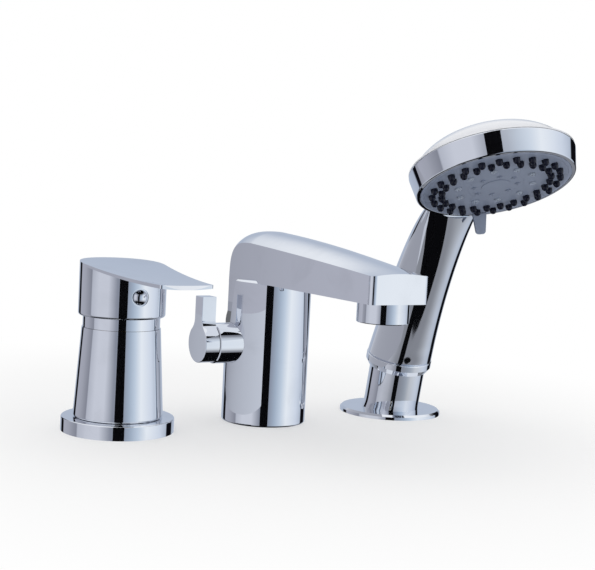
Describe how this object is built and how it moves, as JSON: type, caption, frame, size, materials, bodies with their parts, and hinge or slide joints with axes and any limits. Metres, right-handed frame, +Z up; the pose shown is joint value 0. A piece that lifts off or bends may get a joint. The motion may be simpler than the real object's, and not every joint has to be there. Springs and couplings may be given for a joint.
{
  "type": "bath mixer",
  "caption": "Bath mixer for a tub's rim: a lever mixer, an arched spout with a side diverter, and a leaning holder with a round hand shower.",
  "frame": {"origin": "mouth of the spout's water inlet, on the spout's axis in the plane of the tub's rim", "axes": "+X along the row from the mixer to the hand shower, -Y the way the spout and the lever point, +Z up"},
  "size_m": [0.2541, 0.1745, 0.1825],
  "materials": {
    "chrome": "polished chrome plate",
    "brass": "machined brass",
    "steel": "turned stainless steel",
    "seal_rubber": "black rubber",
    "cartridge_plastic": "off-white moulded plastic",
    "ceramic": "lapped ceramic",
    "pale_cover": "bright plated plastic",
    "face_slate": "satin slate blue plastic",
    "nozzle_rubber": "dark silicone rubber",
    "mist_silicone": "translucent silicone"
  },
  "bodies": {
    "base": {"mixer_escutcheon": "chrome", "mixer_base_seal": "seal_rubber", "mixer_shroud": "chrome", "valve_body": "brass", "cartridge_housing": "cartridge_plastic", "cartridge_seals": "seal_rubber", "ceramic_disc_fixed": "ceramic", "cartridge_nut": "brass", "mixer_collar": "chrome", "spout_body": "chrome", "spout_inlet_block": "brass", "spout_base_seal": "seal_rubber", "aerator_housing": "chrome", "aerator_insert": "cartridge_plastic", "aerator_washer": "seal_rubber", "diverter_bonnet": "chrome", "diverter_sleeve": "cartridge_plastic", "diverter_seal": "seal_rubber", "holder_body": "chrome", "holder_base_seal": "seal_rubber"},
    "swivel": {"cartridge_carrier": "cartridge_plastic", "stem_pin": "steel"},
    "lever": {"lever_handle": "chrome", "cartridge_stem": "steel", "lever_grub_screw": "steel", "lever_plug": "chrome"},
    "mixing_disc": {"ceramic_disc_moving": "ceramic"},
    "diverter": {"diverter_spindle": "steel", "diverter_knob": "chrome", "knob_screw": "steel"},
    "bush": {"holder_bush": "cartridge_plastic"},
    "hand_shower": {"handset_union": "brass", "union_washer": "seal_rubber", "handset_ring": "chrome", "handset_shell": "chrome", "waterway_tube": "cartridge_plastic", "spray_chamber": "cartridge_plastic", "head_back_cover": "pale_cover", "face_plate": "face_slate", "nozzle_mat": "nozzle_rubber", "mist_mat": "mist_silicone", "jet_disc": "face_slate"},
    "selector": {"selector_ring": "face_slate"}
  },
  "joints": [
    {"name": "lever_swivel", "type": "hinge", "parent": "base", "child": "swivel", "pos_m": [-0.094, 0, 0.053], "axis": [0, 0, 1], "range_deg": [-50, 50]},
    {"name": "lever_tilt", "type": "hinge", "parent": "swivel", "child": "lever", "pos_m": [-0.094, 0, 0.053], "axis": [-1, 0, 0], "range_deg": [0, 25]},
    {"name": "disc_slide", "type": "slide", "parent": "swivel", "child": "mixing_disc", "axis": [0, -1, 0], "range_m": [0, 0.0037]},
    {"name": "diverter_turn", "type": "hinge", "parent": "base", "child": "diverter", "pos_m": [-0.04, 0, 0.0471], "axis": [1, 0, 0], "range_deg": [0, 90]},
    {"name": "holder_swing", "type": "hinge", "parent": "base", "child": "bush", "pos_m": [0.09318, -0.00671, 0.03025], "axis": [-0.0266, -0.2165, 0.9759], "range_deg": [-35, 35]},
    {"name": "handset_lift", "type": "slide", "parent": "bush", "child": "hand_shower", "axis": [-0.0266, -0.2165, 0.9759], "range_m": [0, 0.12]},
    {"name": "selector_turn", "type": "hinge", "parent": "hand_shower", "child": "selector", "pos_m": [0.08141, -0.10253, 0.1464], "axis": [-0.0519, -0.4226, -0.9048], "range_deg": [0, 60]}
  ],
  "couplings": [
    {"joint": "disc_slide", "follows": "lever_tilt", "m_per_rad": 0.0083}
  ]
}
